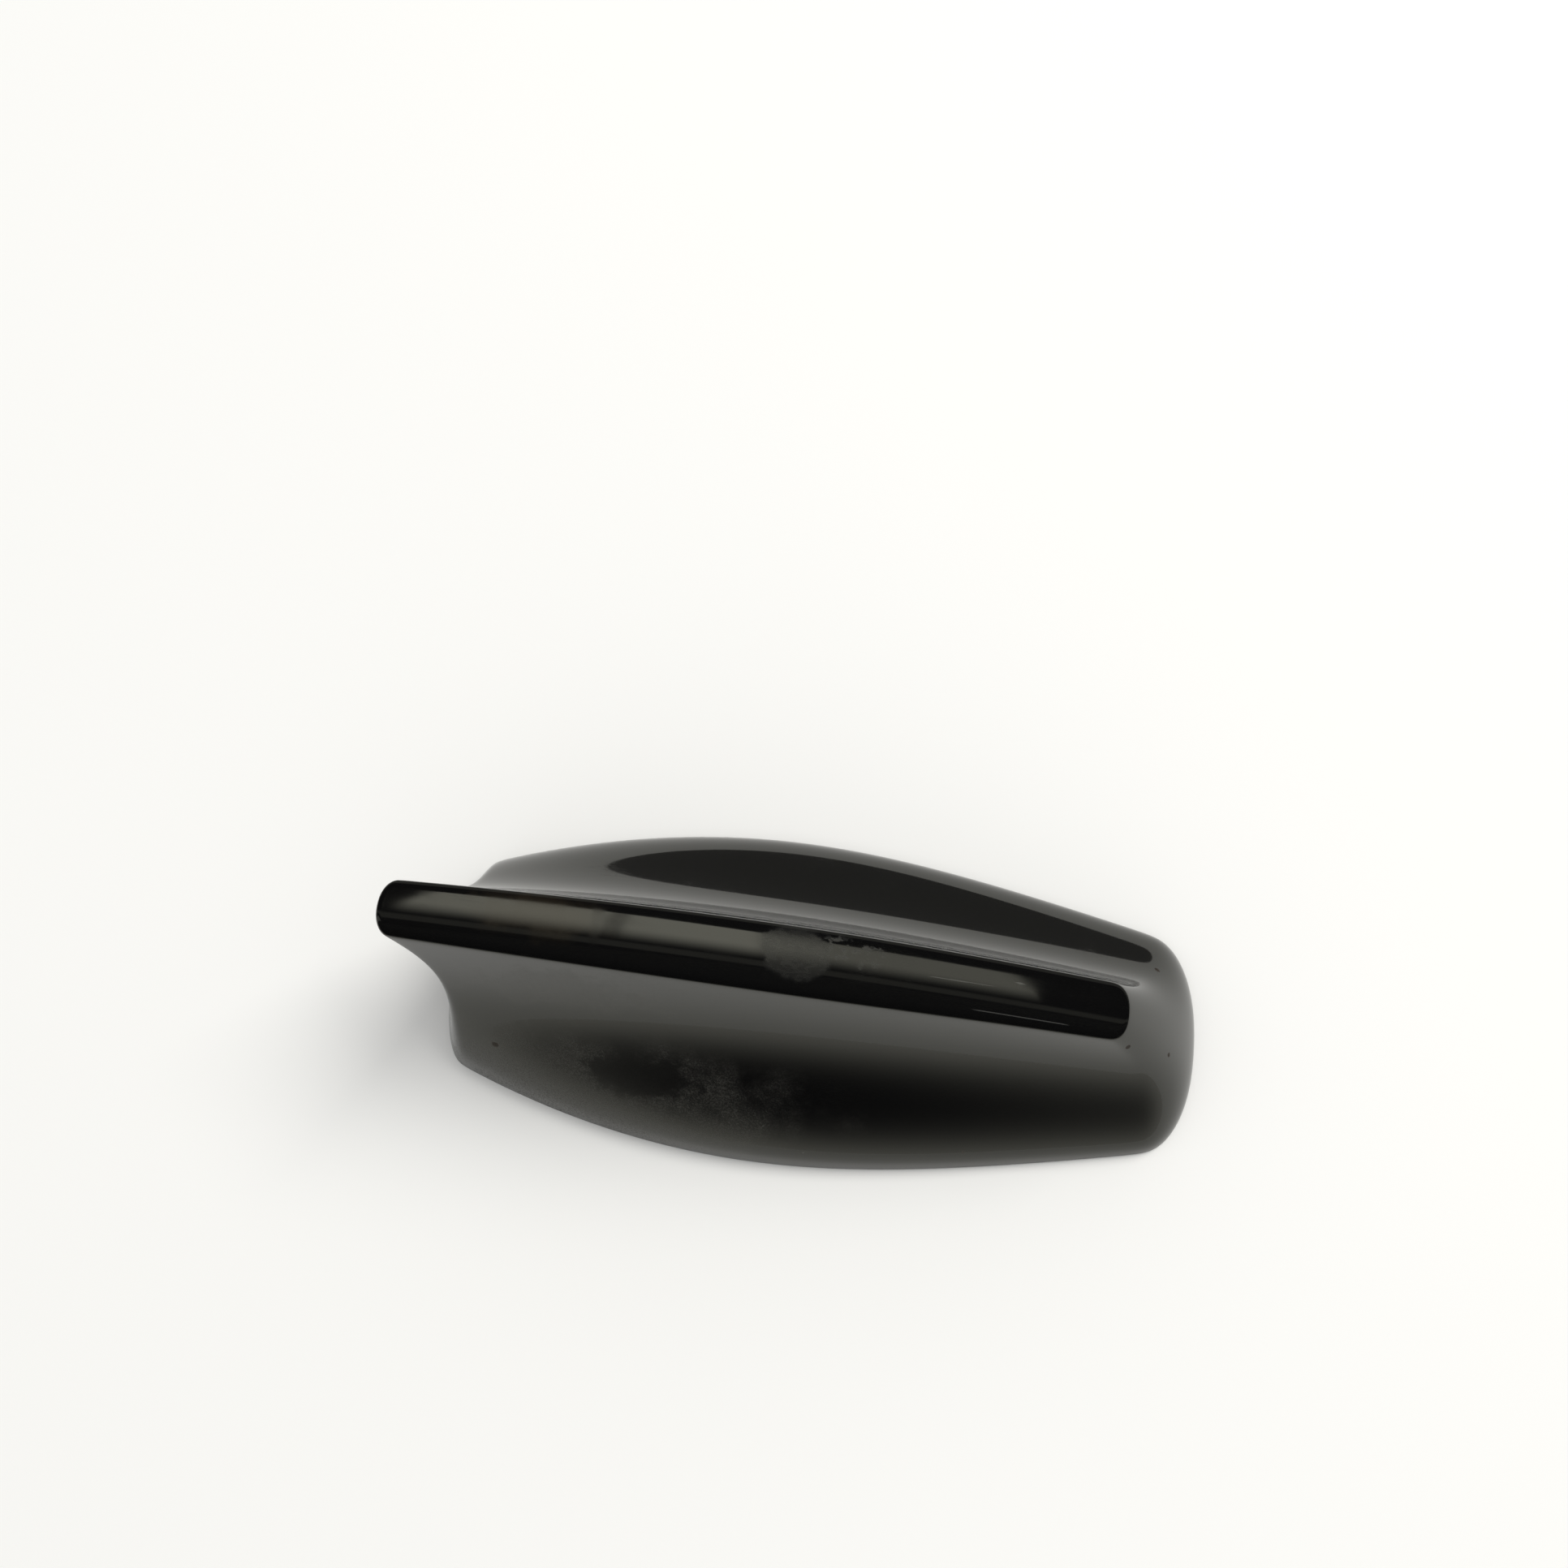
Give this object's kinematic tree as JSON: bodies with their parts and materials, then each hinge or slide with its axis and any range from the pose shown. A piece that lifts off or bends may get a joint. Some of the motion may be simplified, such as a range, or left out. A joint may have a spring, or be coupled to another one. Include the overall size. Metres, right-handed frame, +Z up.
{
  "type": "car roof antenna",
  "caption": "Shark-fin roof antenna for a car: a glossy black moulded fin over a rubber seal, a cast base plate with a fixing thread, circuit boards and aerial sockets.",
  "frame": {"origin": "on the fixing thread's axis, at the plane of the roof, in the middle of the antenna's length", "axes": "+X to the nose, the front of the car; +Y to the car's left; +Z up from the roof"},
  "size_m": [0.1629, 0.0688, 0.047],
  "materials": {
    "cover_paint": "gloss black paint on moulded plastic, with dust, smears and fine scratches",
    "seal_rubber": "moulded black rubber",
    "plate_casting": "bead-blasted die casting",
    "screw_steel": "zinc-plated steel",
    "tin_sheet": "tin-plated sheet",
    "board_laminate": "green lacquered circuit board",
    "tile_ceramic": "fired tile with a silvered top",
    "contact_brass": "gold-flashed brass",
    "socket_plastic": "moulded plastic",
    "coil_plastic": "moulded plastic",
    "coil_wire": "enamelled copper wire",
    "vent_film": "white porous film",
    "tape_foam": "foam tape"
  },
  "bodies": {
    "root": {"fin_cover": "cover_paint", "rim_seal": "seal_rubber", "hole_seal": "seal_rubber", "base_plate": "plate_casting", "thread_insert": "screw_steel", "vent_membrane": "vent_film", "cover_screws": "screw_steel", "main_board": "board_laminate", "board_screws": "screw_steel", "shield_can": "tin_sheet", "patch_tape": "tape_foam", "patch_tile": "tile_ceramic", "feed_pin": "contact_brass", "phone_blade": "tin_sheet", "coil_former": "coil_plastic", "coil_winding": "coil_wire", "fin_board": "board_laminate", "top_sheet": "tin_sheet", "socket_housings": "socket_plastic", "socket_sleeves": "contact_brass", "socket_contacts": "contact_brass"}
  },
  "joints": []
}
